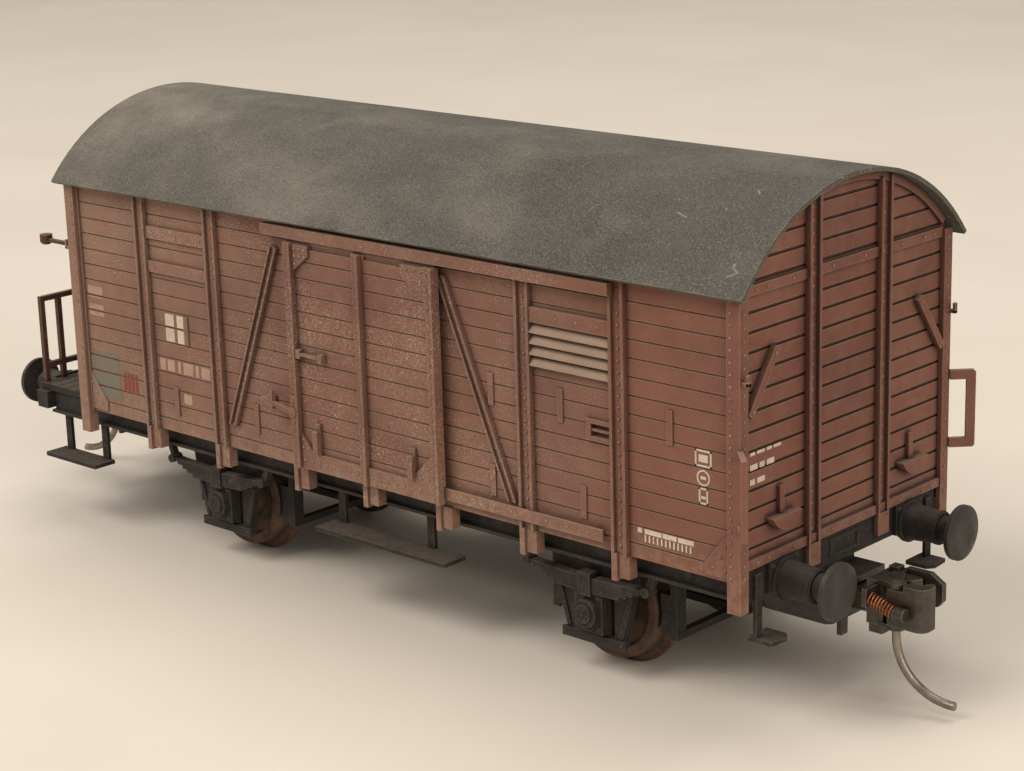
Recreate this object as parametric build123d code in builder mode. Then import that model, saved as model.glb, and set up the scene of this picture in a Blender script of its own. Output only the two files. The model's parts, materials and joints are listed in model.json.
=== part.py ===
from build123d import *
import os
from math import asin, cos, degrees, hypot, radians, sin, sqrt

# Two-axle covered goods wagon in H0 scale (1:87, 16.5 mm gauge), millimetres.
# +X is the front end, -X the end with the handbrake platform, +Z is up.
# The flanges touch z = 0, and the rail top, where the treads run, is FLANGE above it.
# "Right" is the -Y side and "left" the +Y side.

# Driving dimensions
FLANGE = 1.0             # flange depth below the tread
WHEELBASE = 51.72        # 4.5 m at 1:87
REAR_HEAD = 55.5         # rear headstock face, from the middle of the wheelbase
FRONT_HEAD = 45.0        # front headstock face, from the middle of the wheelbase
CENTRE = (REAR_HEAD - FRONT_HEAD) / 2    # x of the middle of the wheelbase
BODY_HALF = 45.5         # half length over the corner posts
END_FACE = 45.0          # plank face of the end walls, from the middle
WALL = 0.8               # wall thickness
SIDE_FACE = 15.4         # plank face of the side walls
POST_FACE = 15.95        # outer face of the side posts
CORNER_FACE = 16.05      # outer face of the corner posts
BODY_BOTTOM = 14.1       # lower edge of the side planks
POST_BOTTOM = 11.6       # lower end of the posts
SIDE_PLANK = 1.69        # plank pitch on the sides
END_PLANK = 1.733        # plank pitch on the ends
GROOVE = 0.14            # width of a plank joint
GROOVE_DEPTH = 0.1

POST_HALF = 0.85         # half width of a channel post
RIB = 0.3                # thickness of a channel post's ribs
FOOT_WIDTH = 1.2         # width of a post's foot

ROOF_HALF_LENGTH = 46.4
ROOF_HALF_WIDTH = 16.99
ROOF_TOP = 47.91
ROOF_RADIUS = 21.48
ROOF_THICKNESS = 0.4

DOOR_HALF = 10.3         # half width of a sliding door
DOOR_BOTTOM = 14.6
DOOR_TOP = 37.5
DOOR_INNER = 16.05       # inner face of the door panel
DOOR_FACE = 16.45        # plank face of the door
DOOR_FRAME = 16.75       # outer face of the door frame
DOOR_RIB = 17.1          # outer face of the ribs on the door's stiles
DOOR_SHIFT = 0.4         # middle of the door, from the middle of the wheelbase
DOORWAY_HALF = 9.2
DOORWAY_BOTTOM = 15.2
DOORWAY_TOP = 37.2

HEAD_TOP = 15.2
HEAD_BOTTOM = 12.3
PLATE_BOTTOM = 13.3      # underside of the chassis plate
SOLEBAR_OUT = 13.5
SOLEBAR_BOTTOM = 11.8

TREAD_RADIUS = 5.5
AXLE_Z = FLANGE + TREAD_RADIUS
BACK_TO_BACK = 14.4
WHEEL_WIDTH = 2.8
AXLE_RADIUS = 1.0
BUSH_RADIUS = 1.5
POINT_HALF = 12.25       # half length over the axle points
GUARD_INNER = 11.6       # inner face of the axle guards
GUARD_THICKNESS = 0.7

BUFFER_Z = 13.3
BUFFER_HALF = 9.7        # half spacing of the buffers
BUFFER_LENGTH = 6.5      # headstock face to buffer face
BUFFER_HEAD_RADIUS = 2.6

COUPLER_POST = 41.5      # swing axis of the coupler, from the middle
KNUCKLE_X = 51.75        # knuckle axis, from the middle, at the front
KNUCKLE_Y = 1.6
PIN_RADIUS = 0.4         # trip pin, which is also the knuckle's pivot
RUNNING = 0.05           # radial running clearance

SIDES = {"right": -1, "left": 1}
ENDS = {"front": 1, "rear": -1}
REAR_SHIFT = REAR_HEAD - FRONT_HEAD


# Helpers

def side_plane(side, distance, along=0.0):
    """A plane facing outwards from one side: local x runs to the right as seen from outside."""
    return Plane(origin=(CENTRE - side * along, side * distance, 0), x_dir=(-side, 0, 0), z_dir=(0, side, 0))


def end_plane(end, distance):
    """A plane facing outwards from one end: local x runs to the right as seen from outside."""
    return Plane(origin=(CENTRE + end * distance, 0, 0), x_dir=(0, end, 0), z_dir=(end, 0, 0))


def level(z):
    """A horizontal plane with its origin at the middle of the wheelbase."""
    return Plane(origin=(CENTRE, 0, z), x_dir=(1, 0, 0), z_dir=(0, 0, 1))


def end_level(end, z):
    """A horizontal plane whose local x points out of one end."""
    return Plane(origin=(CENTRE, 0, z), x_dir=(end, 0, 0), z_dir=(0, 0, 1))


def pad(plane, across, up, depth, mode=Mode.ADD):
    """Raise or cut a rectangle, given by its two ranges on a plane, by a depth."""
    with BuildSketch(plane) as area:
        with Locations(((across[0] + across[1]) / 2, (up[0] + up[1]) / 2)):
            Rectangle(abs(across[1] - across[0]), abs(up[1] - up[0]))
    extrude(area.sketch, amount=depth, mode=mode)


def outline(plane, points, depth, mode=Mode.ADD):
    """Raise or cut a closed outline with straight edges."""
    with BuildSketch(plane) as area:
        with BuildLine():
            Polyline(*points, close=True)
        make_face()
    extrude(area.sketch, amount=depth, mode=mode)


def disc(plane, centre, radius, depth, mode=Mode.ADD):
    """Raise or cut a round disc."""
    with BuildSketch(plane) as area:
        with Locations(centre):
            Circle(radius)
    extrude(area.sketch, amount=depth, mode=mode)


def strip(plane, start, end, width, depth):
    """Raise a straight slanted strip between two points on a plane."""
    length = hypot(end[0] - start[0], end[1] - start[1])
    angle = degrees(asin((end[1] - start[1]) / length))
    if end[0] < start[0]:
        angle = 180 - angle
    with BuildSketch(plane) as area:
        with Locations(Location(((start[0] + end[0]) / 2, (start[1] + end[1]) / 2, 0), (0, 0, angle))):
            Rectangle(length, width)
    extrude(area.sketch, amount=depth)


def save(part, name):
    """Label a finished piece and write it to its own file."""
    part.label = name
    export_step(part, f"parts/{name}.step")


def channel(plane, middle, bottom, top, depth):
    """A post of open channel section: a thin web between two ribs."""
    pad(plane, (middle - POST_HALF, middle + POST_HALF), (bottom, top), 0.2)
    for hand in (-1, 1):
        pad(plane, (middle + hand * (POST_HALF - RIB), middle + hand * POST_HALF), (bottom, top), depth)


def roof_under(y, gap=0.04):
    """Height of the roof's underside at a distance from the middle, less a small gap."""
    radius = ROOF_RADIUS - ROOF_THICKNESS - gap
    return ROOF_TOP - ROOF_RADIUS + sqrt(radius ** 2 - y ** 2)


os.makedirs("parts", exist_ok=True)


# Roof: one bent sheet, longer and wider than the body

ROOF_CENTRE = ROOF_TOP - ROOF_RADIUS
roof_half_angle = degrees(asin(ROOF_HALF_WIDTH / ROOF_RADIUS))
with BuildPart() as roof:
    with BuildSketch(Plane.YZ.offset(CENTRE - ROOF_HALF_LENGTH)):
        with BuildLine():
            outer = CenterArc((0, ROOF_CENTRE), ROOF_RADIUS, 90 - roof_half_angle, 2 * roof_half_angle)
            inner = CenterArc((0, ROOF_CENTRE), ROOF_RADIUS - ROOF_THICKNESS,
                              90 - roof_half_angle, 2 * roof_half_angle)
            Line(outer @ 0, inner @ 0)
            Line(outer @ 1, inner @ 1)
        make_face()
    extrude(amount=2 * ROOF_HALF_LENGTH)
save(roof.part, "roof")


# Side walls: planks, posts, braces, vents and small fittings in one moulding

SIDE_JOINTS = [BODY_BOTTOM + 1.34 + SIDE_PLANK * i for i in range(15)]
POSTS = (-33.3, -22.1, 20.8, 31.9)
DOOR_POSTS = (-10.0, 10.0)
BRACES = (((-12.4, 36.4), (-20.1, 16.8)), ((10.7, 36.6), (19.0, 16.4)))
TIE_STRIPS = ((16.4, 25.2), (16.4, 16.4), (24.9, 25.1), (27.5, 16.5), (37.5, 25.3),
              (-16.6, 25.0), (-16.6, 16.4), (-27.1, 24.0), (-29.3, 16.0))
TIE_STRIP_HEIGHT = 3.1


def side_wall(side):
    """One side wall with its doorway."""
    face = side_plane(side, SIDE_FACE)
    inner = side_plane(side, SIDE_FACE - WALL)
    half = END_FACE - WALL
    wall_top = roof_under(SIDE_FACE)
    with BuildPart() as wall:
        pad(inner, (-half, half), (BODY_BOTTOM, wall_top), WALL)
        with BuildSketch(face):
            with Locations(*[(0, z) for z in SIDE_JOINTS]):
                Rectangle(2 * half, GROOVE)
        extrude(amount=-GROOVE_DEPTH, mode=Mode.SUBTRACT)
        pad(inner, (-DOORWAY_HALF, DOORWAY_HALF), (DOORWAY_BOTTOM, DOORWAY_TOP), WALL, Mode.SUBTRACT)
        for u in POSTS:
            channel(face, u, BODY_BOTTOM, roof_under(POST_FACE, 0.1), POST_FACE - SIDE_FACE)
        for u in POSTS + DOOR_POSTS + (0.0,):
            foot = POST_BOTTOM if u else POST_BOTTOM + 0.3
            pad(inner, (u - 0.3, u + FOOT_WIDTH - 0.2), (foot + 0.3, BODY_BOTTOM), POST_FACE - SIDE_FACE + WALL - 0.25)
            pad(inner, (u - POST_HALF, u - 0.25), (foot, BODY_BOTTOM + 0.1), POST_FACE - SIDE_FACE + WALL)
        for hand in (-1, 1):
            corner_posts(side, hand)
            outline(face, ((hand * 44.15, 19.0), (hand * 41.3, 15.5), (hand * 41.3, 14.4),
                           (hand * 44.15, 14.4)), 0.15)
        for start, end in BRACES:
            strip(face, start, end, 1.0, 0.2)
            for offset in (-0.42, 0.42):
                strip(face, (start[0] + offset, start[1]), (end[0] + offset, end[1]), 0.2, 0.5)
        louvres(face)
        for low, high in ((34.9, 36.2), (31.3, 32.5)):
            pad(face, (POSTS[0] + POST_HALF, POSTS[1] - POST_HALF), (low, high), 0.3)
        for u, z in TIE_STRIPS:
            pad(face, (u - 0.33, u + 0.33), (z, z + TIE_STRIP_HEIGHT), 0.14)
        pad(face, (28.1, 30.9), (24.1, 26.1), 0.25)
        pad(side_plane(side, SIDE_FACE + 0.25), (28.6, 30.9), (24.5, 25.7), -0.6, Mode.SUBTRACT)
        pad(side_plane(side, SIDE_FACE - 0.35), (28.6, 30.9), (25.0, 25.2), 0.5)
        pad(face, (-14.6, -13.4), (19.9, 21.0), 0.4)
        pad(side_plane(side, POST_FACE), (-10.6, 30.2), (15.0, 16.15), 0.2)
        for u in DOOR_POSTS + (0.0, POSTS[2], 29.6):
            pad(face, (u - 0.4, u + 0.2), (15.3, 15.9), POST_FACE - SIDE_FACE)
    return wall.part


def corner_posts(side, hand):
    """An angle post at one end of a side wall, wrapped round the end wall's corner."""
    gap = 0.03
    face = side_plane(side, SIDE_FACE + gap)
    inside = side_plane(side, 14.85)
    top = roof_under(CORNER_FACE, 0.1)
    pad(face, (hand * 44.1, hand * BODY_HALF), (BODY_BOTTOM, top), CORNER_FACE - SIDE_FACE - gap)
    pad(inside, (hand * (END_FACE + gap), hand * BODY_HALF), (POST_BOTTOM, top), CORNER_FACE - 14.85)
    pad(inside, (hand * 44.1, hand * BODY_HALF), (POST_BOTTOM, BODY_BOTTOM), CORNER_FACE - 14.85)
    join = side_plane(side, SIDE_FACE - 0.2)
    pad(join, (hand * 43.8, hand * 44.17), (BODY_BOTTOM, top), 0.45)


def louvres(face):
    """The louvred vent and the board above it."""
    ends = (POSTS[2] + POST_HALF, POSTS[3] - POST_HALF)
    pad(face, ends, (33.95, 35.35), 0.4)
    for i in range(4):
        pad(face, ends, (29.95 + 1.02 * i, 30.2 + 1.02 * i), 0.3)


for name, side in SIDES.items():
    save(side_wall(side), f"side_wall_{name}")


# End walls: planks, two posts, the band at the eaves and the arch moulding

END_JOINTS = ([17.05 + END_PLANK * i for i in range(14)]
              + [40.5 + END_PLANK * i for i in range(4)])
END_BOTTOM = 15.3
END_POST = 5.35
HOOK = 9.9               # distance of the crescent steps from the middle


def arch(plane, radius, half_width, bottom, depth, mode=Mode.ADD):
    """Raise an outline with straight sides and the roof's arc on top."""
    shoulder = ROOF_CENTRE + sqrt(radius ** 2 - half_width ** 2)
    with BuildSketch(plane) as area:
        with BuildLine():
            Polyline((-half_width, shoulder), (-half_width, bottom), (half_width, bottom),
                     (half_width, shoulder))
            ThreePointArc((half_width, shoulder), (0, ROOF_CENTRE + radius), (-half_width, shoulder))
        make_face()
    extrude(area.sketch, amount=depth, mode=mode)


def end_wall(end):
    """One end wall."""
    face = end_plane(end, END_FACE)
    under = ROOF_RADIUS - ROOF_THICKNESS - 0.04
    with BuildPart() as wall:
        arch(end_plane(end, END_FACE - WALL), under, SIDE_FACE, END_BOTTOM, WALL)
        with BuildSketch(face):
            with Locations(*[(0, z) for z in END_JOINTS]):
                Rectangle(2 * SIDE_FACE, 0.28)
        extrude(amount=-0.2, mode=Mode.SUBTRACT)
        pad(face, (-14.75, 14.75), (39.3, 40.2), 0.25)
        pad(face, (-14.75, 14.75), (15.3, 16.15), 0.4)
        for hand in (-1, 1):
            w = hand * END_POST
            top = roof_under(END_POST + 0.95, 0.1)
            channel(face, w, END_BOTTOM, top, 0.6)
            if end > 0:
                pad(end_plane(end, END_FACE + 0.06), (w - POST_HALF, w + POST_HALF), (13.2, END_BOTTOM), 0.54)
            strip(face, (hand * 10.8, 34.35), (hand * 14.6, 29.0), 0.75, 0.6)
            pad(face, (hand * HOOK - 0.3, hand * HOOK + 0.3), (18.3, 21.8), 0.4)
            with BuildSketch(face):
                with Locations((hand * HOOK, 20.2)):
                    Circle(2.2)
                with Locations((hand * HOOK, 21.3)):
                    Rectangle(5, 4.0, mode=Mode.SUBTRACT)
            extrude(amount=1.0)
        with BuildSketch(face):
            with BuildLine():
                span = 46
                low = CenterArc((0, ROOF_CENTRE), under - 0.75, 90 - span, 2 * span)
                high = CenterArc((0, ROOF_CENTRE), under, 90 - span, 2 * span)
                Line(low @ 0, high @ 0)
                Line(low @ 1, high @ 1)
            make_face()
        extrude(amount=0.35)
    return wall.part


for name, end in ENDS.items():
    save(end_wall(end), f"end_wall_{name}")


# Floor and the steel ballast plate on it

FLOOR_TOP = 15.0
with BuildPart() as floor:
    pad(level(BODY_BOTTOM), (-43.1, 43.1), (-14.55, 14.55), FLOOR_TOP - BODY_BOTTOM)
    with BuildSketch(level(FLOOR_TOP)):
        with GridLocations(2.1, 1, 40, 1):
            Rectangle(0.16, 28)
    extrude(amount=-0.15, mode=Mode.SUBTRACT)
save(floor.part, "floor")

with BuildPart() as ballast_weight:
    pad(level(FLOOR_TOP), (-36, 36), (-9, 9), 1.2)
    chamfer(ballast_weight.edges().filter_by(Axis.Z), 1.0)
save(ballast_weight.part, "ballast_weight")


# Door rails at the eaves: an angle whose lip keeps the door's tongue in

def door_rail(side):
    """The upper rail on one side."""
    face = side_plane(side, POST_FACE)
    with BuildPart() as rail:
        pad(face, (-13.2, 31.6), (38.6, 38.98), 0.7)
        pad(side_plane(side, 16.4), (-13.2, 31.6), (37.85, 38.98), 0.25)
        pad(face, (-13.2, -12.6), (37.85, 38.98), 0.7)
        pad(face, (31.0, 31.6), (37.85, 38.98), 0.7)
    return rail.part


for name, side in SIDES.items():
    save(door_rail(side), f"door_rail_{name}")


# Sliding doors

def door(side):
    """A planked door with its frame, ribs, gussets, handle, latch and two lifting wedges."""
    inner = side_plane(side, DOOR_INNER, DOOR_SHIFT)
    face = side_plane(side, DOOR_FACE, DOOR_SHIFT)
    frame = side_plane(side, DOOR_FRAME, DOOR_SHIFT)
    back = side_plane(side, 16.27, DOOR_SHIFT)
    panel_bottom = 16.3
    proud = DOOR_FRAME - DOOR_FACE
    with BuildPart() as leaf:
        pad(inner, (-DOOR_HALF, DOOR_HALF), (panel_bottom, DOOR_TOP), DOOR_FACE - DOOR_INNER)
        joints = [z for z in SIDE_JOINTS if panel_bottom + 0.2 < z < DOOR_TOP - 0.2]
        with BuildSketch(face):
            with Locations(*[(0, z) for z in joints]):
                Rectangle(2 * DOOR_HALF, GROOVE)
        extrude(amount=-GROOVE_DEPTH, mode=Mode.SUBTRACT)
        for gap in ((-6.8, -0.7), (0.8, 6.0)):
            pad(face, gap, (37.0, DOOR_TOP), -0.28, Mode.SUBTRACT)
        pad(back, (-DOOR_HALF, DOOR_HALF), (DOOR_BOTTOM, panel_bottom + 0.1), DOOR_FRAME - 16.27)
        pad(side_plane(side, 16.1, DOOR_SHIFT), (-DOOR_HALF + 0.3, DOOR_HALF - 0.3), (DOOR_TOP - 0.1, 38.35), 0.2)
        for low, high in ((-10.3, -9.0), (-0.6, 0.5), (9.1, 10.3)):
            pad(face, (low, high), (DOOR_BOTTOM, DOOR_TOP), proud)
        for u in (-9.15, 0.35, 10.15):
            pad(frame, (u - 0.15, u + 0.15), (DOOR_BOTTOM, DOOR_TOP), DOOR_RIB - DOOR_FRAME)
        outline(face, ((-9.2, 37.4), (-6.8, 37.4), (-6.8, 36.4), (-9.2, 34.6)), proud)
        outline(face, ((9.2, 37.4), (6.0, 37.4), (6.0, 36.4), (9.2, 34.0)), proud)
        outline(face, ((-9.2, 16.2), (-7.0, 16.2), (-9.2, 18.4)), proud)
        outline(face, ((9.2, 16.2), (6.0, 16.2), (9.2, 19.2)), proud)
        pad(face, (-8.9, -8.3), (26.0, 26.9), 0.6)
        pad(frame, (-8.9, -5.2), (26.3, 26.6), 0.3)
        pad(face, (-5.6, -5.1), (26.0, 26.85), 0.7)
        pad(frame, (-10.2, -9.2), (18.6, 22.0), 0.15)
        strip(frame, (-14.3, 21.0), (-9.4, 20.1), 0.45, 0.3)
        pad(frame, (-13.1, -12.75), (20.1, 22.0), 0.3)
        disc(frame, (-9.7, 20.3), 0.5, 0.45)
        for u in (-6.5, 6.7):
            pad(face, (u - 0.3, u + 0.3), (16.4, 19.6), 0.35)
            pad(face, (u - 0.3, u + 0.3), (16.7, 18.9), 0.8)
    return leaf.part


for name, side in SIDES.items():
    save(door(side), f"door_{name}")


# Underframe: chassis plate, solebars, headstocks and the pads that carry the coupler boxes

BOX_TOP = 10.8
with BuildPart() as underframe:
    pad(level(PLATE_BOTTOM), (-(REAR_HEAD - 1.8), FRONT_HEAD - 1.8), (-12.9, 12.9), 0.75)
    for side in SIDES.values():
        web = side_plane(side, SOLEBAR_OUT - 0.8)
        ends = sorted((-side * (FRONT_HEAD - 1.8), side * (REAR_HEAD - 1.8)))
        pad(web, ends, (SOLEBAR_BOTTOM, BODY_BOTTOM - 0.05), 0.8)
        pad(side_plane(side, SOLEBAR_OUT), ends, (SOLEBAR_BOTTOM, SOLEBAR_BOTTOM + 0.3), 0.5)
    pad(end_plane(1, FRONT_HEAD - 1.8), (-14.6, 14.6), (HEAD_BOTTOM, HEAD_TOP), 1.8)
    pad(end_plane(-1, REAR_HEAD - 1.8), (-14.6, 14.6), (HEAD_BOTTOM, 14.25), 1.8)
    pad(end_plane(1, FRONT_HEAD), (-2.3, 2.3), (12.9, 14.7), 0.12)
    pad(end_plane(1, FRONT_HEAD + 0.12), (-1.8, 1.8), (13.2, 14.4), -0.12, Mode.SUBTRACT)
    pad(end_plane(-1, REAR_HEAD), (-2.3, 2.3), (12.7, 14.0), 0.12)
    for x in (-16.5, -5.5, 5.5, 16.5):
        pad(level(PLATE_BOTTOM), (x - 0.4, x + 0.4), (-12.9, 12.9), -1.1)
    for y in (-4.5, 4.5):
        pad(level(PLATE_BOTTOM), (-37.5, 37.5), (y - 0.4, y + 0.4), -0.25)
    for end, shift in ((1, 0), (-1, REAR_SHIFT)):
        pad(end_level(end, BOX_TOP), (38.8 + shift, 43.4 + shift), (-3.9, 3.9), PLATE_BOTTOM + 0.2 - BOX_TOP)
save(underframe.part, "underframe")


# Axle guards, with a window for the axle box and a tie bar below

GUARD_BOTTOM = 3.2


def axle_guard(end, side):
    """The plate that holds one end of an axle."""
    middle = -side * end * WHEELBASE / 2
    with BuildPart() as guard:
        plane = side_plane(side, GUARD_INNER)
        outline(plane, ((middle - 3.5, 3.3), (middle + 3.5, 3.3), (middle + 3.5, 4.3),
                        (middle + 4.85, 9.6), (middle + 5.4, SOLEBAR_BOTTOM + 0.6),
                        (middle - 5.4, SOLEBAR_BOTTOM + 0.6), (middle - 4.85, 9.6),
                        (middle - 3.5, 4.3)), GUARD_THICKNESS)
        for hand in (-1, 1):
            low, high = middle + hand * 1.75, middle + hand * 2.35
            pad(plane, (low, high), (4.2, 8.2), GUARD_THICKNESS, Mode.SUBTRACT)
        pad(side_plane(side, GUARD_INNER + GUARD_THICKNESS), (middle - 3.8, middle + 3.8),
            (GUARD_BOTTOM, 4.1), 0.4)
        for hand in (-1, 1):
            outline(side_plane(side, GUARD_INNER + GUARD_THICKNESS),
                    ((middle + hand * 2.9, 4.3), (middle + hand * 3.4, 4.3),
                     (middle + hand * 4.6, 8.6), (middle + hand * 4.1, 8.6)), 0.15)
            pad(side_plane(side, GUARD_INNER - 0.9), (middle + hand * 4.2, middle + hand * 5.4),
                (11.4, PLATE_BOTTOM), 0.9)
        disc(plane, (middle, AXLE_Z), 1.25, GUARD_THICKNESS, Mode.SUBTRACT)
    return guard.part


# Axle boxes with their leaf springs, one casting to each guard

LEAVES = 5
LEAF = 0.3


def spring_unit(end, side):
    """Axle box, round cover, buckle, laminated spring and its two shackles."""
    middle = -side * end * WHEELBASE / 2
    back = GUARD_INNER + GUARD_THICKNESS + 0.42
    with BuildPart() as unit:
        box = side_plane(side, GUARD_INNER + GUARD_THICKNESS)
        pad(box, (middle - 1.65, middle + 1.65), (4.5, 8.6), 1.0)
        disc(side_plane(side, GUARD_INNER + GUARD_THICKNESS + 1.0), (middle, AXLE_Z), 1.35, 0.7)
        disc(side_plane(side, GUARD_INNER + GUARD_THICKNESS + 1.7), (middle, AXLE_Z), 0.9, 0.2)
        for i in range(LEAVES):
            half = 4.0 + 0.8 * i
            foot = 8.5 + LEAF * i
            tip = foot + 0.04 * half
            outline(side_plane(side, back),
                    ((middle - half, tip), (middle, foot), (middle + half, tip),
                     (middle + half, tip + LEAF), (middle, foot + LEAF), (middle - half, tip + LEAF)),
                    1.0)
        pad(side_plane(side, back), (middle - 0.75, middle + 0.75), (8.3, 10.5), 1.2)
        for hand in (-1, 1):
            eye = (middle + hand * 7.2, 10.15)
            disc(side_plane(side, back - 0.1), eye, 0.45, 1.3)
            outline(side_plane(side, back + 0.1),
                    ((eye[0] - 0.3, eye[1]), (eye[0] + 0.3, eye[1]),
                     (eye[0] + hand * 0.7 + 0.3, SOLEBAR_BOTTOM), (eye[0] + hand * 0.7 - 0.3, SOLEBAR_BOTTOM)),
                    0.7)
    return unit.part


def bearing(end, side):
    """A turned cone bearing for one axle point."""
    slope = (AXLE_RADIUS - 0.12) / 0.9
    mouth = GUARD_INNER - 0.15
    radius_at_mouth = AXLE_RADIUS - (mouth - 11.35) * slope + 0.078
    deep = mouth + (radius_at_mouth - 0.15) / slope
    x = CENTRE + end * WHEELBASE / 2
    with BuildPart() as cup:
        with BuildSketch(Plane(origin=(x, 0, AXLE_Z), x_dir=(0, side, 0), z_dir=(1, 0, 0))):
            with BuildLine():
                Polyline((mouth, radius_at_mouth), (mouth, 1.6), (GUARD_INNER, 1.6),
                         (GUARD_INNER, 1.25), (12.9, 1.25), (12.9, 0), (deep, 0), (deep, 0.15),
                         close=True)
            make_face()
        revolve(axis=Axis((x, 0, AXLE_Z), (0, 1, 0)))
    return cup.part


bearings = []
for end_name, end in ENDS.items():
    for side_name, side in SIDES.items():
        save(axle_guard(end, side), f"axle_guard_{end_name}_{side_name}")
        with BuildPart() as spring_box:
            add(spring_unit(end, side))
            axle_x = -side * end * WHEELBASE / 2
            disc(side_plane(side, GUARD_INNER), (axle_x, AXLE_Z), 1.25, 1.3, Mode.SUBTRACT)
        save(spring_box.part, f"axle_box_{end_name}_{side_name}")
        bearings.append(bearing(end, side))
save(Compound(children=bearings), "axle_bearings")


# Wheelsets

def axle(x):
    """A plain axle with a point at each end."""
    with BuildPart() as shaft:
        with BuildSketch(Plane(origin=(x, 0, AXLE_Z), x_dir=(0, 1, 0), z_dir=(1, 0, 0))):
            with BuildLine():
                Polyline((-POINT_HALF, 0), (-POINT_HALF, 0.12), (-11.35, AXLE_RADIUS),
                         (11.35, AXLE_RADIUS), (POINT_HALF, 0.12), (POINT_HALF, 0), close=True)
            make_face()
        revolve(axis=Axis((x, 0, AXLE_Z), (0, 1, 0)))
    return shaft.part


def wheel(x, side, bore):
    """A disc wheel with a coned tread, a rounded flange and a dished face."""
    back = BACK_TO_BACK / 2
    front = back + WHEEL_WIDTH
    tip = TREAD_RADIUS + FLANGE
    with BuildPart() as disc_wheel:
        with BuildSketch(Plane(origin=(x, 0, AXLE_Z), x_dir=(0, side, 0), z_dir=(1, 0, 0))):
            with BuildLine():
                Polyline((back, bore), (back, tip - 0.35))
                ThreePointArc((back, tip - 0.35), (back + 0.38, tip), (back + 0.72, tip - 0.4))
                Polyline((back + 0.72, tip - 0.4), (back + 0.95, TREAD_RADIUS + 0.06),
                         (front - 0.2, TREAD_RADIUS - 0.04), (front, TREAD_RADIUS - 0.25),
                         (front, TREAD_RADIUS - 1.0), (front - 0.7, TREAD_RADIUS - 1.25),
                         (front - 0.9, 2.4), (front - 0.1, 2.0), (front, 1.8), (front, bore),
                         (back, bore))
            make_face()
        revolve(axis=Axis((x, 0, AXLE_Z), (0, 1, 0)))
    return disc_wheel.part


def bush(x):
    """The insulating bush under the left wheel."""
    back = BACK_TO_BACK / 2
    with BuildPart() as ring:
        with BuildSketch(Plane(origin=(x, back - 0.5, AXLE_Z), x_dir=(1, 0, 0), z_dir=(0, 1, 0))):
            Circle(BUSH_RADIUS)
            Circle(AXLE_RADIUS, mode=Mode.SUBTRACT)
        extrude(amount=WHEEL_WIDTH + 0.7)
    return ring.part


for name, end in ENDS.items():
    axle_x = CENTRE + end * WHEELBASE / 2
    save(axle(axle_x), f"axle_{name}")
    save(wheel(axle_x, -1, AXLE_RADIUS), f"wheel_{name}_right")
    save(wheel(axle_x, 1, BUSH_RADIUS), f"wheel_{name}_left")
    save(bush(axle_x), f"wheel_bush_{name}")


# Brake gear: four shoes, their hangers, two cross beams and a pull rod below the axle

def brake_gear(end):
    """The brake gear round one axle."""
    middle = end * WHEELBASE / 2
    with BuildPart() as gear:
        pad(level(4.3), (middle - 7.6, middle + 7.6), (-0.5, 0.5), 0.7)
        for hand in (-1, 1):
            x = middle + hand * 7.2
            pad(level(4.3), (x - 0.4, x + 0.4), (-9.7, 9.7), 0.7)
            for side in SIDES.values():
                plane = side_plane(side, 8.3)
                u = -side * x
                out = -side * hand
                pad(plane, (u - 0.35, u + 0.35), (4.3, PLATE_BOTTOM), 1.4)
                with BuildSketch(plane):
                    with Locations((u - out * 0.75, 6.6)):
                        Rectangle(1.5, 4.0)
                    with Locations((-side * middle, AXLE_Z)):
                        Circle(TREAD_RADIUS + 0.3, mode=Mode.SUBTRACT)
                extrude(amount=1.4)
    return gear.part


for name, end in ENDS.items():
    save(brake_gear(end), f"brake_gear_{name}")


# Buffers

def buffer_housing(end, side):
    """Base plate with four bolts, tapered sleeve and neck."""
    head = FRONT_HEAD if end > 0 else REAR_HEAD
    w = end * side * BUFFER_HALF
    with BuildPart() as housing:
        plane = end_plane(end, head + 0.02)
        pad(plane, (w - 2.1, w + 2.1), (BUFFER_Z - 0.95, BUFFER_Z + 1.9), 0.45)
        with Locations(plane * Location((w, BUFFER_Z, 0))):
            Cone(1.8, 1.5, 4.2, align=(Align.CENTER, Align.CENTER, Align.MIN))
        disc(end_plane(end, head + 0.47), (w, BUFFER_Z), 2.0, 0.35)
        disc(end_plane(end, head + 4.2), (w, BUFFER_Z), 1.25, 0.75)
        disc(end_plane(end, head + 3.7), (w, BUFFER_Z), 1.6, 0.35)
        disc(end_plane(end, head + 1.0), (w, BUFFER_Z), 0.72, 4.0, Mode.SUBTRACT)
    return housing.part


def buffer_head(end, side):
    """The disc and the plunger pressed into its housing."""
    head = FRONT_HEAD if end > 0 else REAR_HEAD
    w = end * side * BUFFER_HALF
    axis_point = (CENTRE + end * head, side * BUFFER_HALF, BUFFER_Z)
    crown, flat, rim = 0.2, 1.5, BUFFER_HEAD_RADIUS
    with BuildPart() as plunger:
        with BuildSketch(Plane(origin=axis_point, x_dir=(end, 0, 0), z_dir=(0, 1, 0))):
            with BuildLine():
                Polyline((BUFFER_LENGTH - crown, rim),
                         (BUFFER_LENGTH - 0.65, rim), (BUFFER_LENGTH - 0.75, 2.0),
                         (BUFFER_LENGTH - 1.0, 0.9), (BUFFER_LENGTH - 1.4, 0.7),
                         (1.2, 0.7), (1.2, 0), (BUFFER_LENGTH, 0), (BUFFER_LENGTH, flat))
                ThreePointArc((BUFFER_LENGTH, flat), (BUFFER_LENGTH - crown * 0.35, (flat + rim) / 2 + 0.05),
                              (BUFFER_LENGTH - crown, rim))
            make_face()
        revolve(axis=Axis(axis_point, (1, 0, 0)))
    return plunger.part


for end_name, end in ENDS.items():
    for side_name, side in SIDES.items():
        save(buffer_housing(end, side), f"buffer_housing_{end_name}_{side_name}")
        save(buffer_head(end, side), f"buffer_head_{end_name}_{side_name}")


# Couplers. Distances run outwards from the middle, and the rear one is the front one
# turned half round the vertical axis and set further out.

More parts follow.
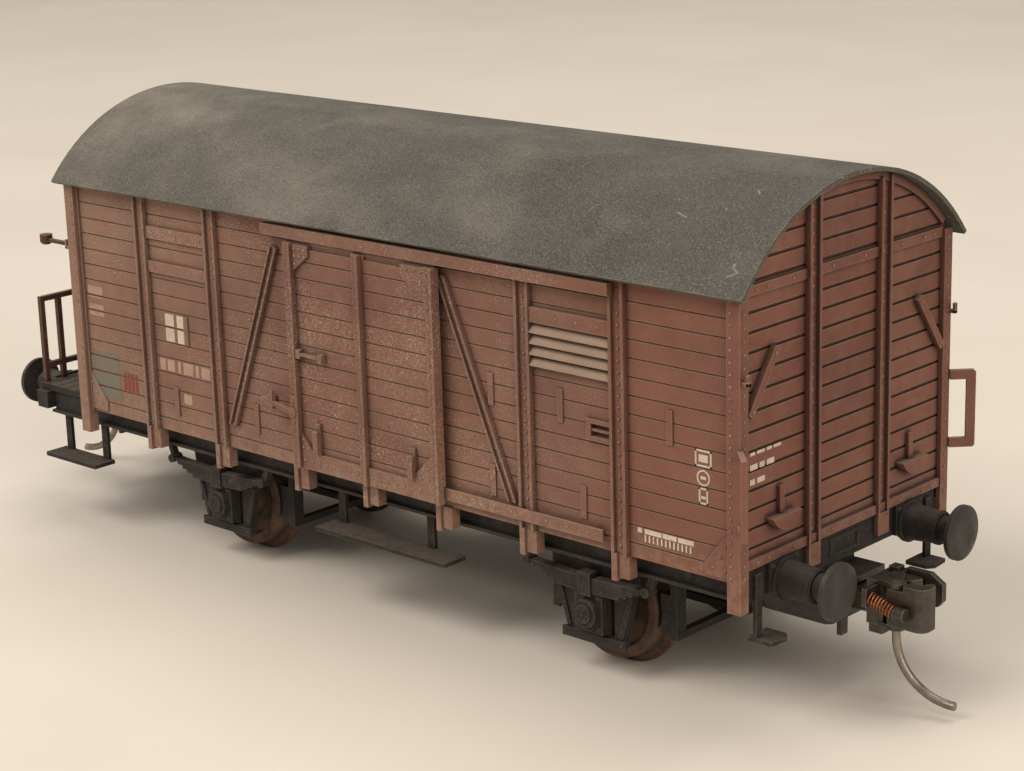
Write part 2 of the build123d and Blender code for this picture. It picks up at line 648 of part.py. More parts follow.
BOX_BOTTOM = 8.1
COVER_BOTTOM = 7.4
CAVITY = 2.1             # height of the space for the shank
SPRING_TURNS = 5
SPRING_Y = 3.15          # distance of the knuckle's spring from the middle


def coupler_box(end, shift):
    """The box the shank swings in, open below and in front, with the swing post."""
    with BuildPart() as box:
        pad(end_level(end, BOX_BOTTOM), (38.8 + shift, 46.5 + shift), (-4.3, 4.3), BOX_TOP - BOX_BOTTOM)
        pad(end_level(end, BOX_BOTTOM), (39.6 + shift, 46.5 + shift), (-3.5, 3.5), CAVITY,
            Mode.SUBTRACT)
        disc(end_level(end, BOX_BOTTOM), (COUPLER_POST + shift, 0), 0.75, CAVITY + 0.1)
        disc(end_level(end, BOX_BOTTOM), (COUPLER_POST + shift, 0), 0.4, 1.8, Mode.SUBTRACT)
    return box.part


def coupler_cover(end, shift):
    """The plate that closes the box from below, with a small tab at its mouth."""
    with BuildPart() as cover:
        pad(end_level(end, COVER_BOTTOM), (38.8 + shift, 46.5 + shift), (-4.3, 4.3), 0.7)
        chamfer(cover.edges().filter_by(Axis.Z), 0.5)
        disc(end_level(end, COVER_BOTTOM), (COUPLER_POST + shift, 0), 0.45, 0.7, Mode.SUBTRACT)
        pad(end_level(end, 5.9), (46.0 + shift, 46.5 + shift), (-end * 2.0 - 0.5, -end * 2.0 + 0.5), 1.6)
    return cover.part


def cover_screw(end, shift):
    """The screw through the cover into the post."""
    with BuildPart() as screw:
        disc(end_level(end, COVER_BOTTOM - 0.5), (COUPLER_POST + shift, 0), 0.95, 0.5)
        disc(end_level(end, COVER_BOTTOM), (COUPLER_POST + shift, 0), 0.4, 2.4)
        pad(end_level(end, COVER_BOTTOM - 0.5),
            (COUPLER_POST + shift - 0.7, COUPLER_POST + shift + 0.7), (-0.12, 0.12), 0.2, Mode.SUBTRACT)
    return screw.part


def coupler_level(end, shift, z):
    """A horizontal plane at the middle, whose local axes both turn with the end."""
    return Plane(origin=(CENTRE + end * shift, 0, z), x_dir=(end, 0, 0), z_dir=(0, 0, 1))


def coupler_head(end, shift):
    """Shank with the swing hole, head, guard arm and the two ears round the knuckle."""
    knuckle = (KNUCKLE_X, -KNUCKLE_Y)
    ear_bottoms = (7.6, 11.55)
    with BuildPart() as head:
        shank = coupler_level(end, shift, 8.35)
        pad(shank, (COUPLER_POST, 49.6), (-1.4, 1.4), 1.6)
        disc(shank, (COUPLER_POST, 0), 1.6, 1.6)
        disc(shank, (COUPLER_POST, 0), 0.75 + RUNNING, 1.6, Mode.SUBTRACT)
        pad(coupler_level(end, shift, 7.6), (48.8, 50.5), (-1.95, 2.3), 4.2)
        pad(coupler_level(end, shift, 11.8), (49.2, 50.2), (0.9, 1.9), 0.45)
        outline(coupler_level(end, shift, 7.9), ((50.4, -0.1), (51.9, 0.5), (52.4, 1.5), (51.5, 2.3),
                                                 (50.4, 2.3)), 3.6)
        guard = Plane(origin=(CENTRE + end * shift, end * 1.9, 0), x_dir=(end, 0, 0), z_dir=(0, -end, 0))
        outline(guard, ((50.4, 8.6), (53.7, 9.0), (54.2, 9.6), (54.2, 11.2), (52.9, 12.0), (50.4, 12.0)), -0.6)
        for z in ear_bottoms:
            ear = coupler_level(end, shift, z)
            outline(ear, ((50.0, -1.95), (KNUCKLE_X, -KNUCKLE_Y - 0.8), (KNUCKLE_X, -KNUCKLE_Y + 0.85),
                          (51.2, 0.6), (50.0, 0.6)), 0.45)
            disc(ear, knuckle, 0.8, 0.45)
        disc(coupler_level(end, shift, 7.5), knuckle, PIN_RADIUS + RUNNING, 4.7, Mode.SUBTRACT)
        pad(coupler_level(end, shift, 6.7), (48.9, 50.3), (-1.7, 0.5), 1.0)
        pad(coupler_level(end, shift, 9.8), (49.55, 50.0), (-3.8, -1.85), 1.7)
    return head.part


def knuckle(end, shift):
    """The hooked jaw, its round tail on the pin and the stub that seats the spring."""
    bottom, tail_top, tip_top = 8.1, 11.5, 12.1
    with BuildPart() as jaw:
        with BuildSketch(coupler_level(end, shift, bottom)):
            with BuildLine():
                Polyline((51.3, -2.45), (54.2, -2.6))
                TangentArc((54.2, -2.6), (55.2, -1.6), tangent=(1, -0.04))
                Polyline((55.2, -1.6), (55.15, -0.7), (54.75, -0.4), (54.3, -0.7), (54.15, -1.35),
                         (52.6, -1.2), (52.3, -0.85), (51.75, -0.75), (51.3, -1.2), (51.3, -2.45))
            make_face()
            with Locations((KNUCKLE_X, -KNUCKLE_Y)):
                Circle(0.85)
        extrude(amount=tail_top - bottom)
        with BuildSketch(coupler_level(end, shift, tail_top)):
            with BuildLine():
                Polyline((53.0, -2.54), (54.2, -2.6))
                TangentArc((54.2, -2.6), (55.2, -1.6), tangent=(1, -0.04))
                Polyline((55.2, -1.6), (55.15, -0.7), (54.75, -0.4), (54.3, -0.7), (54.15, -1.35),
                         (53.0, -1.24), (53.0, -2.54))
            make_face()
        extrude(amount=tip_top - tail_top)
        disc(coupler_level(end, shift, bottom), (KNUCKLE_X, -KNUCKLE_Y), PIN_RADIUS, tail_top - bottom,
             Mode.SUBTRACT)
        stub = Plane(origin=(CENTRE + end * (52.6 + shift), -end * SPRING_Y, 9.7), x_dir=(0, end, 0),
                     z_dir=(end, 0, 0))
        disc(stub, (0, 0), 0.62, 1.1)
    return jaw.part


def trip_pin(end, shift):
    """A bent steel wire: straight through the knuckle, then curved forwards below it."""
    bend = 5.7
    turn = 9.0
    low = 1.36
    top = 12.0
    plane = Plane(origin=(CENTRE + end * (KNUCKLE_X + shift), -end * KNUCKLE_Y, 0),
                  x_dir=(end * cos(radians(turn)), end * sin(radians(turn)), 0),
                  z_dir=(end * sin(radians(turn)), -end * cos(radians(turn)), 0))
    with BuildPart() as pin:
        with BuildLine(plane):
            Line((0, top), (0, low + bend))
            CenterArc((bend, low + bend), bend, 180, 90)
        with BuildSketch(Plane(origin=plane.from_local_coords((0, top, 0)), z_dir=(0, 0, -1))):
            Circle(PIN_RADIUS)
        sweep()
    return pin.part


def knuckle_spring(end, shift):
    """A coil from the head's lug to the stub on the knuckle, drawn at its shortest."""
    wire = 0.1
    start, length, radius = 50.2, 1.25, 0.56
    top, drop = 10.5, 0.35
    with BuildPart() as coil:
        with BuildLine() as path:
            Helix(pitch=length / SPRING_TURNS, height=length, radius=radius,
                  center=(CENTRE + end * (start + shift), -end * SPRING_Y, top), direction=(end, 0, -drop))
        with BuildSketch(Plane(origin=path.wires()[0] @ 0, z_dir=path.wires()[0] % 0)):
            Circle(wire)
        sweep(is_frenet=True)
    return coil.part


screws = []
for name, end in ENDS.items():
    shift = 0 if end > 0 else REAR_SHIFT
    save(coupler_box(end, shift), f"coupler_box_{name}")
    save(coupler_cover(end, shift), f"coupler_cover_{name}")
    screws.append(cover_screw(end, shift))
    save(coupler_head(end, shift), f"coupler_head_{name}")
    save(knuckle(end, shift), f"knuckle_{name}")
    save(trip_pin(end, shift), f"trip_pin_{name}")
    save(knuckle_spring(end, shift), f"knuckle_spring_{name}")
save(Compound(children=screws), "cover_screws")


# Steps: a long board under each door, stirrups at the front corners, boards by the platform

def long_step(side):
    """A step board on two strap hangers."""
    with BuildPart() as step:
        pad(side_plane(side, 13.0), (-8.0, 10.0), (7.9, 8.35), 3.0)
        for u in (-6.7, 5.8):
            pad(side_plane(side, 13.0), (u - 0.45, u + 0.45), (7.9, SOLEBAR_BOTTOM), 0.45)
    return step.part


for name, side in SIDES.items():
    save(long_step(side), f"long_step_{name}")

stirrups = []
platform_boards = []
for side in SIDES.values():
    with BuildPart() as stirrup:
        pad(end_plane(1, FRONT_HEAD + 0.02), sorted((side * 12.75, side * 13.65)), (8.4, 14.6), 0.35)
        outline(level(8.4), ((44.4, side * 10.9), (46.6, side * 10.9), (47.2, side * 11.6),
                             (47.0, side * 13.65), (44.4, side * 13.65)), 0.4)
    stirrups.append(stirrup.part)
    with BuildPart() as board:
        ends = (side * 44.2, side * 53.0)
        pad(side_plane(side, 13.0), ends, (7.2, 7.65), 2.8)
        for u in (45.2, 51.7):
            pad(side_plane(side, 13.0), (side * u - 0.45, side * u + 0.45), (7.2, SOLEBAR_BOTTOM), 0.45)
    platform_boards.append(board.part)
save(Compound(children=stirrups), "corner_steps")
save(Compound(children=platform_boards), "platform_steps")


# Grab handles: a flat D set at 45 degrees on each front corner post

handles = []
for side in SIDES.values():
    corner = (CENTRE + BODY_HALF, side * CORNER_FACE, 0)
    plane = Plane(origin=corner, x_dir=(1, side, 0), z_dir=(side, -1, 0))
    with BuildPart() as handle:
        for depth in (0.25, -0.25):
            pad(plane, (0.04, 2.45), (18.9, 26.4), depth)
            pad(plane, (0.0, 1.6), (19.8, 25.5), depth, Mode.SUBTRACT)
        chamfer(handle.edges().filter_by(lambda e: e.length < 0.6).sort_by(Axis((0, 0, 0), (1, side, 0)))[-2:],
                0.2)
    handles.append(handle.part)
save(Compound(children=handles), "grab_handles")


# Handbrake platform at the rear end

DECK_BOTTOM = 14.3
DECK_TOP = 15.0
with BuildPart() as platform_deck:
    pad(end_level(-1, DECK_BOTTOM), (BODY_HALF + 0.3, REAR_HEAD), (-13.9, 13.9), DECK_TOP - DECK_BOTTOM)
    with BuildSketch(end_level(-1, DECK_TOP)):
        with Locations(*[(BODY_HALF + 1.9 + 1.7 * i, 0) for i in range(5)]):
            Rectangle(0.16, 27.8)
    extrude(amount=-0.15, mode=Mode.SUBTRACT)
save(platform_deck.part, "platform_deck")

RAIL_BAR = 0.6
with BuildPart() as platform_railing:
    for y in (-13.3, -11.0, 11.0, 13.3):
        pad(end_plane(-1, REAR_HEAD - 0.6), (y - RAIL_BAR / 2, y + RAIL_BAR / 2), (DECK_TOP, 24.9), 0.5)
    for z in (16.6, 24.3):
        pad(end_plane(-1, REAR_HEAD - 0.6), (-13.6, 13.6), (z, z + RAIL_BAR), 0.5)
save(platform_railing.part, "platform_railing")

BRAKE_X = 48.1
BRAKE_Y = 13.0
with BuildPart() as handbrake:
    disc(end_level(-1, DECK_TOP), (BRAKE_X, BRAKE_Y), 0.9, 0.8)
    disc(end_level(-1, DECK_TOP), (BRAKE_X, BRAKE_Y), 0.4, 16.8)
    disc(end_level(-1, 29.6), (BRAKE_X, BRAKE_Y), 0.75, 1.2)
    pad(end_level(-1, 31.4), (BRAKE_X, BRAKE_X + 5.3), (BRAKE_Y - 0.22, BRAKE_Y + 0.22), 0.4)
    disc(end_level(-1, 31.1), (BRAKE_X + 5.5, BRAKE_Y), 0.7, 1.1)
    chamfer(handbrake.faces().sort_by(Axis.X)[0].edges().filter_by(GeomType.CIRCLE), 0.25)
save(handbrake.part, "handbrake")
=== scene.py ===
"""A weathered covered goods wagon in H0 scale, standing on a plain pale floor."""
import json
from math import cos, hypot, pi, radians, sin

import bmesh
import bpy
from mathutils import Matrix, Vector


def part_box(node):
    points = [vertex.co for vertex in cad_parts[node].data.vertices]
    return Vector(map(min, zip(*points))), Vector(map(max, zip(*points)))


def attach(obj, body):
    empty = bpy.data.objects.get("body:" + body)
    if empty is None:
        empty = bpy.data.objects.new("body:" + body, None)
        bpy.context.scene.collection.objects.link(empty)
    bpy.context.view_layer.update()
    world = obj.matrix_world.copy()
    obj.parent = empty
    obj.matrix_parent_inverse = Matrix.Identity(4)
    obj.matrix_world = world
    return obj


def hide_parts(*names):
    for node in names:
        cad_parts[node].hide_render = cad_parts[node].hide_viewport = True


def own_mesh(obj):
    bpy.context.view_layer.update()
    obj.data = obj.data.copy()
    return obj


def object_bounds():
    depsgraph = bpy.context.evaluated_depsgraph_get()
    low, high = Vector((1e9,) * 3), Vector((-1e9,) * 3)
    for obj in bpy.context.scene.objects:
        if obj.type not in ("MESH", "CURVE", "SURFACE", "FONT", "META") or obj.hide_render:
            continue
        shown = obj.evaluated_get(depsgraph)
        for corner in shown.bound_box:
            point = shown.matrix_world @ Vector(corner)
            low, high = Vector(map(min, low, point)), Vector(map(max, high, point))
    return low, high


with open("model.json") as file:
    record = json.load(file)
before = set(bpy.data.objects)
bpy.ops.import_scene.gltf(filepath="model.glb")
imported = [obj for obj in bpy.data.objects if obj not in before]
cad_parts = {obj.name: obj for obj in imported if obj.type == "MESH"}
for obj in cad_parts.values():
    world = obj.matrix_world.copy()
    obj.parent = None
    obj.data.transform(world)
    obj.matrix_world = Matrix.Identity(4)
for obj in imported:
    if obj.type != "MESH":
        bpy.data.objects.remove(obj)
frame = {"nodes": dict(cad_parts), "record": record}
cad_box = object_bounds()


# Where things are. Lengths on the wagon are in millimetres, u runs to the right as seen from
# outside, z is the height, and d is the distance outwards from the middle of the wheelbase.

MM = 0.001
SIDES = {"right": -1, "left": 1}
ENDS = {"front": 1, "rear": -1}


def node_middle(name):
    """The middle of a CAD node's box."""
    low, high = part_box(name)
    return (Vector(low) + Vector(high)) / 2


CENTRE = (node_middle("axle_front").x + node_middle("axle_rear").x) / 2
AXLE_Z = node_middle("axle_front").z / MM
SIDE_FACE = 15.4         # plank face of the sides
END_FACE = 45.0          # plank face of the ends
CORNER_FACE = 16.05      # corner posts, on the sides
CORNER_END_FACE = 45.5   # corner posts, on the ends
RAIL_FACE = 16.15        # lower door rail
POST_WEB = 0.2           # thickness of a channel post's web
POST_FOOT = 14.9         # lowest rivet of a side post
CORNER_FOOT = 14.8       # lowest rivet of a corner post
EAVES = 39.2             # highest rivet of a corner post
POSTS = (-33.3, -22.1, 20.8, 31.9)
BRACES = (((-12.4, 36.4), (-20.1, 16.8)), ((10.7, 36.6), (19.0, 16.4)))
END_POST = 5.35
DOOR_FRAME = 16.75
DOOR_SHIFT = 0.4
RIVET = 0.17             # radius of a large rivet
SMALL_RIVET = 0.15
RIVET_STEP = 1.05
PRINT_SINK = 0.02        # how far a print reaches into the planks
PRINT_RISE = 0.025       # how far it stands out
JOINT_GAP = 0.13         # how far it stays from the middle of a plank joint
PLANK = 1.69
FIRST_JOINT = 15.44
END_PLANK = 1.733
FIRST_END_JOINT = 17.05
FRONT_HEAD = 45.0
REAR_HEAD = 55.5
REAR_SHIFT = REAR_HEAD - FRONT_HEAD
BUFFER_Z = node_middle("buffer_head_front_right").z / MM
BUFFER_HALF = abs(node_middle("buffer_head_front_right").y) / MM


def side_face(side, along=0.0):
    """Turns (u, z, d) on one side of the wagon into a point."""
    return lambda u, z, d: Vector((CENTRE - side * (u + along) * MM, side * d * MM, z * MM))


def end_face(end):
    """Turns (u, z, d) at one end of the wagon into a point."""
    return lambda u, z, d: Vector((CENTRE + end * d * MM, end * u * MM, z * MM))


# Material building

def srgb(red, green, blue):
    """A linear colour from 8-bit sRGB values."""
    linear = [((c / 255 + 0.055) / 1.055) ** 2.4 if c > 10 else c / 255 / 12.92
              for c in (red, green, blue)]
    return (*linear, 1.0)


class Finish:
    """One procedural material, built up from coats."""

    def __init__(self, name, metallic=0.0, edge_radius=0.05):
        self.material = bpy.data.materials.new(name)
        self.material.use_nodes = True
        self.tree = self.material.node_tree
        self.shader = self.tree.nodes["Principled BSDF"]
        self.shader.inputs["Metallic"].default_value = metallic
        self.place = self.tree.nodes.new("ShaderNodeTexCoord")
        self.axes = self.add("ShaderNodeSeparateXYZ", self.place.outputs["Object"])
        self.edge_radius = edge_radius
        self.color = None

    def feed(self, socket, value):
        """Sets a socket to a value or links it to an output."""
        if isinstance(value, bpy.types.NodeSocket):
            self.tree.links.new(value, socket)
        else:
            socket.default_value = value

    def add(self, kind, *values, **settings):
        """Adds a node with its first inputs fed and its settings made."""
        made = self.tree.nodes.new(kind)
        for name, value in settings.items():
            setattr(made, name, value)
        for socket, value in zip(made.inputs, values):
            self.feed(socket, value)
        return made

    def math(self, operation, first, second=0.0):
        return self.add("ShaderNodeMath", first, second, operation=operation).outputs[0]

    def band(self, value, low, high, bottom=0.0, top=1.0):
        """0 below low and 1 above high, with a straight run between."""
        return self.add("ShaderNodeMapRange", value, low, high, bottom, top).outputs[0]

    def noise(self, size, detail=3.0, stretch=(1, 1, 1)):
        """Noise whose largest grains are about size millimetres."""
        scale = [1 / (size * MM * s) for s in stretch]
        spot = self.add("ShaderNodeMapping", self.place.outputs["Object"])
        spot.inputs["Scale"].default_value = scale
        made = self.add("ShaderNodeTexNoise", spot.outputs[0])
        made.inputs["Scale"].default_value = 1.0
        made.inputs["Detail"].default_value = detail
        made.inputs["Roughness"].default_value = 0.6
        return made.outputs[0]

    def scratches(self, size, stretch, width=0.012):
        """Thin lines along the borders of long cells."""
        bent = self.add("ShaderNodeMapping", self.place.outputs["Object"])
        bent.inputs["Scale"].default_value = [1 / (size * MM * s) for s in stretch]
        bent.inputs["Rotation"].default_value = (0.3, 0.2, 0.6)
        cells = self.add("ShaderNodeTexVoronoi", bent.outputs[0], feature="DISTANCE_TO_EDGE")
        cells.inputs["Scale"].default_value = 1.0
        return self.band(cells.outputs[0], width, 0.0)

    def hollows(self, distance):
        """1 in corners and joints, 0 on open faces; the mask for painted shade in recesses."""
        shade = self.add("ShaderNodeAmbientOcclusion", samples=6)
        shade.inputs["Distance"].default_value = distance * MM
        return self.band(shade.outputs["AO"], 0.98, 0.45)

    def edges(self, distance):
        """1 on outer edges, 0 on open faces."""
        shade = self.add("ShaderNodeAmbientOcclusion", samples=6, inside=True)
        shade.inputs["Distance"].default_value = distance * MM
        return self.band(shade.outputs["AO"], 0.85, 0.5)

    def upward(self):
        """1 where the surface faces up."""
        normal = self.add("ShaderNodeSeparateXYZ", self.place.outputs["Normal"])
        return self.band(normal.outputs[2], 0.45, 0.9)

    def coat(self, amount, color, strength=1.0):
        """Lays a colour over what is there."""
        if strength != 1.0:
            amount = self.math("MULTIPLY", amount, strength)
        mix = self.tree.nodes.new("ShaderNodeMix")
        mix.data_type = "RGBA"
        self.feed(mix.inputs[0], amount)
        self.feed(mix.inputs[6], self.color)
        self.feed(mix.inputs[7], color)
        self.color = mix.outputs[2]

    def all_of(self, *factors):
        """The product of several amounts."""
        result = factors[0]
        for factor in factors[1:]:
            result = self.math("MULTIPLY", result, factor)
        return result

    def finish(self, roughness, grain=None, strength=0.3, depth=0.03):
        """Sets the roughness and bump, and gives the material back."""
        self.feed(self.shader.inputs["Base Color"], self.color)
        self.feed(self.shader.inputs["Roughness"], roughness)
        soft = self.add("ShaderNodeBevel", self.edge_radius * MM, samples=4)
        normal = soft.outputs[0]
        if grain is not None:
            bump = self.tree.nodes.new("ShaderNodeBump")
            bump.inputs["Strength"].default_value = strength
            bump.inputs["Distance"].default_value = depth * MM
            self.feed(bump.inputs["Height"], grain)
            self.feed(bump.inputs["Normal"], normal)
            normal = bump.outputs[0]
        self.feed(self.shader.inputs["Normal"], normal)
        return self.material


# Colours

RED_BROWN = srgb(114, 68, 53)
WARM_BROWN = srgb(101, 58, 46)
FADED_BROWN = srgb(138, 94, 76)
DARK_BROWN = srgb(78, 42, 33)
# Painted shade for the body's corners and plank joints.
RECESS_SHADE = srgb(34, 20, 16)
DUST = srgb(166, 144, 124)
PALE_DUST = srgb(190, 172, 156)
# Near-black: soot specks on the roof, the black bushes, and painted shade in recesses.
SOOT_AND_SHADE = srgb(20, 18, 17)
ROOF_GREY = srgb(74, 71, 66)
ROOF_DARK = srgb(60, 58, 54)
ROOF_DUST = srgb(158, 148, 132)
FRAME_BLACK = srgb(22, 20, 20)
FRAME_DUST = srgb(104, 92, 82)
RUST = srgb(88, 58, 43)
DARK_RUST = srgb(52, 36, 29)
TREAD_STEEL = srgb(140, 124, 104)
BALLAST_STEEL = srgb(150, 148, 144)
BALLAST_STAIN = srgb(96, 88, 80)
AXLE_STEEL = srgb(110, 100, 90)
AXLE_STAIN = srgb(56, 44, 36)
BRASS = srgb(200, 172, 108)
BRASS_STAIN = srgb(120, 90, 50)
BUFFER_BLACK = srgb(36, 34, 33)
BUFFER_DUST = srgb(96, 90, 84)
CAST_METAL = srgb(86, 80, 74)
CAST_STAIN = srgb(50, 44, 40)
CAST_WEAR = srgb(140, 132, 124)
BOX_BLACK = srgb(26, 24, 24)
BRONZE = srgb(196, 126, 82)
BRONZE_STAIN = srgb(120, 68, 42)
PIN_STEEL = srgb(150, 140, 130)
PIN_STAIN = srgb(98, 88, 78)
SCREW_STEEL = srgb(150, 146, 140)
SCREW_STAIN = srgb(80, 70, 60)
VENT_BROWN = srgb(134, 104, 88)
PRINT_WHITE = srgb(200, 184, 166)
PRINT_FAINT = srgb(166, 138, 118)
PRINT_GREEN = srgb(104, 104, 92)
PRINT_RED = srgb(130, 52, 42)
FLOOR_PALE = srgb(220, 211, 199)
FLOOR_SHADE = srgb(214, 204, 191)


def body_paint(name, pitch=PLANK, start=FIRST_JOINT, joint=0.35, joint_width=0.3):
    """Matt red-brown paint on planks: each plank a little different and dusty, with painted shade in corners
    and plank joints.
    """
    look = Finish(name)
    height = look.axes.outputs[2]
    look.color = RED_BROWN
    look.coat(look.band(look.noise(16, 4), 0.38, 0.62), WARM_BROWN)
    plank = look.math("FLOOR", look.math("DIVIDE", look.math("SUBTRACT", height, start * MM), pitch * MM))
    chance = look.add("ShaderNodeTexWhiteNoise", noise_dimensions="1D")
    look.feed(chance.inputs["W"], plank)
    look.coat(chance.outputs["Value"], DARK_BROWN, 0.16)
    look.coat(look.band(look.noise(26, 4), 0.42, 0.68), FADED_BROWN, 0.5)
    look.coat(look.band(look.noise(1.1, 5, (6, 1, 0.6)), 0.5, 0.75), DARK_BROWN, 0.22)
    specks = look.band(look.noise(0.22, 2), 0.54, 0.68)
    patches = look.band(look.noise(7, 4), 0.4, 0.64, 0.15, 1.0)
    towards_rear = look.band(look.axes.outputs[0], 0.042, 0.02, 0.12, 1.0)
    look.coat(look.all_of(specks, patches, towards_rear), DUST, 0.8)
    fine_specks = look.band(look.noise(0.11, 1), 0.56, 0.66)
    look.coat(look.all_of(fine_specks, patches, towards_rear), PALE_DUST, 0.35)
    film = look.band(look.noise(9, 5), 0.3, 0.62, 0.3, 1.0)
    look.coat(look.all_of(film, look.band(look.axes.outputs[0], 0.042, 0.028)), DUST, 0.16)
    haze = look.band(look.axes.outputs[0], -0.01, -0.05)
    look.coat(look.all_of(haze, look.band(look.noise(5, 5), 0.25, 0.6, 0.4, 1.0)), DUST, 0.3)
    foot = look.band(height, 18.0 * MM, 14.3 * MM)
    look.coat(look.all_of(foot, look.band(look.noise(0.9, 5), 0.4, 0.66)), DUST, 0.28)
    look.coat(look.upward(), DUST, 0.5)
    rubbed = look.edges(0.14)
    look.coat(look.all_of(rubbed, look.band(look.noise(2.5, 4), 0.35, 0.6, 0.3, 1.0)), DUST, 0.5)
    # Painted shade: corners and plank joints darkened by ambient occlusion.
    look.coat(look.hollows(1.2), RECESS_SHADE, 0.4)
    look.coat(look.hollows(joint_width), RECESS_SHADE, joint)
    grain = look.math("ADD", look.noise(0.5, 4, (8, 1, 0.5)), look.math("MULTIPLY", specks, 0.5))
    return look.finish(look.band(look.noise(2, 4), 0.3, 0.7, 0.5, 0.8), grain, 0.35, 0.05)


def roof_paint(name):
    """Dark grey sheet, sandy to the touch, with faint dust and a few short pale scratches."""
    look = Finish(name)
    look.color = ROOF_GREY
    look.coat(look.band(look.noise(11, 5), 0.35, 0.65), ROOF_DARK)
    grains = look.noise(0.3, 3)
    look.coat(look.band(look.noise(20, 6, (1.0, 0.6, 1.0)), 0.5, 0.74), ROOF_DUST, 0.3)
    far = look.band(look.axes.outputs[0], 0.01, -0.045)
    high = look.band(look.axes.outputs[2], 38 * MM, 46 * MM, 0.3, 1.0)
    look.coat(look.all_of(far, high, look.band(look.noise(6, 6), 0.3, 0.66)), ROOF_DUST, 0.5)
    look.coat(look.band(look.noise(0.16, 2), 0.46, 0.74), ROOF_DUST, 0.38)
    look.coat(look.band(look.noise(0.22, 2), 0.48, 0.72), SOOT_AND_SHADE, 0.42)
    near = look.band(look.axes.outputs[0], 0.02, 0.045)
    some = look.band(look.noise(2.2, 3), 0.6, 0.66)
    look.coat(look.all_of(look.scratches(2.4, (3.5, 1, 1), 0.02), near, some), ROOF_DUST, 0.7)
    look.coat(look.all_of(look.edges(0.15), look.band(look.noise(3, 4), 0.4, 0.6)), ROOF_DUST, 0.4)
    return look.finish(look.band(grains, 0.3, 0.7, 0.62, 0.9), look.noise(0.34, 5), 0.6, 0.09)


def frame_paint(name, dusty=0.32, roughness=0.55, base=FRAME_BLACK, dust=FRAME_DUST):
    """Black-brown running gear with dust on ledges, edges and in blotches, and painted shade in its recesses.
    """
    look = Finish(name)
    look.color = base
    look.coat(look.band(look.noise(3, 5), 0.4, 0.65), DARK_RUST, 0.4)
    look.coat(look.band(look.noise(1.6, 5), 0.5, 0.7), dust, dusty * 0.4)
    look.coat(look.band(look.noise(0.2, 2), 0.55, 0.68), dust, dusty * 0.4)
    ledges = look.upward()
    look.coat(look.all_of(ledges, look.band(look.noise(0.5, 4), 0.3, 0.6, 0.4, 1.0)), dust, dusty)
    look.coat(look.edges(0.14), dust, dusty)
    # Painted shade: corners and recesses darkened by ambient occlusion.
    look.coat(look.hollows(0.6), SOOT_AND_SHADE, 0.8)
    rough = look.band(look.noise(1.2, 4), 0.3, 0.7, roughness, roughness + 0.3)
    return look.finish(rough, look.noise(0.25, 4), 0.3, 0.04)


def bare_metal(name, base, stain, roughness=0.3, metallic=1.0, wear=None, stains=0.5):
    """Metal with a slight stain, fine drawn lines and polished edges, and painted shade in its hollows."""
    look = Finish(name, metallic)
    look.color = base
    look.coat(look.band(look.noise(1.1, 5), 0.45, 0.68), stain, stains)
    look.coat(look.band(look.noise(0.15, 3), 0.55, 0.7), stain, stains * 0.5)
    if wear is not None:
        look.coat(look.edges(0.14), wear, 0.8)
    # Painted shade in the hollows.
    look.coat(look.hollows(0.4), SOOT_AND_SHADE, 0.5)
    rough = look.band(look.noise(0.6, 4), 0.3, 0.7, roughness, roughness + 0.22)
    return look.finish(rough, look.noise(0.12, 3), 0.15, 0.02)


def wheel_paint(name, end):
    """Dark rust wheel whose tread is worn to bare metal, with painted shade in its hollows."""
    look = Finish(name)
    look.color = RUST
    look.coat(look.band(look.noise(1.6, 5), 0.38, 0.62), DARK_RUST)
    look.coat(look.band(look.noise(0.22, 2), 0.52, 0.66), FRAME_DUST, 0.3)
    # Painted shade in the wheel's hollows.
    look.coat(look.hollows(0.8), SOOT_AND_SHADE, 0.7)
    middle = node_middle(f"axle_{end}")
    across = look.math("SUBTRACT", look.axes.outputs[0], middle.x)
    above = look.math("SUBTRACT", look.axes.outputs[2], middle.z)
    square = look.math("ADD", look.math("POWER", across, 2.0), look.math("POWER", above, 2.0))
    radius = look.math("SQRT", square)
    normal = look.add("ShaderNodeSeparateXYZ", look.place.outputs["Normal"])
    facing_out = look.band(look.math("ABSOLUTE", normal.outputs[1]), 0.5, 0.3)
    tread = look.all_of(look.band(radius, 5.2 * MM, 5.3 * MM), facing_out)
    look.coat(tread, TREAD_STEEL, 0.9)
    look.feed(look.shader.inputs["Metallic"], look.math("MULTIPLY", tread, 0.9))
    return look.finish(look.band(tread, 0.0, 1.0, 0.75, 0.35), look.noise(0.2, 4), 0.25, 0.03)


def print_paint(name, ink, wear=0.5):
    """Printed marking, rubbed so that the brown paint shows through."""
    look = Finish(name, edge_radius=0.02)
    look.color = ink
    look.coat(look.band(look.noise(0.5, 5), wear, wear + 0.14), RED_BROWN, 0.9)
    look.coat(look.band(look.noise(3, 4), 0.45, 0.7), FADED_BROWN, 0.4)
    return look.finish(look.band(look.noise(1, 3), 0.3, 0.7, 0.5, 0.75), look.noise(0.3, 3), 0.2, 0.02)


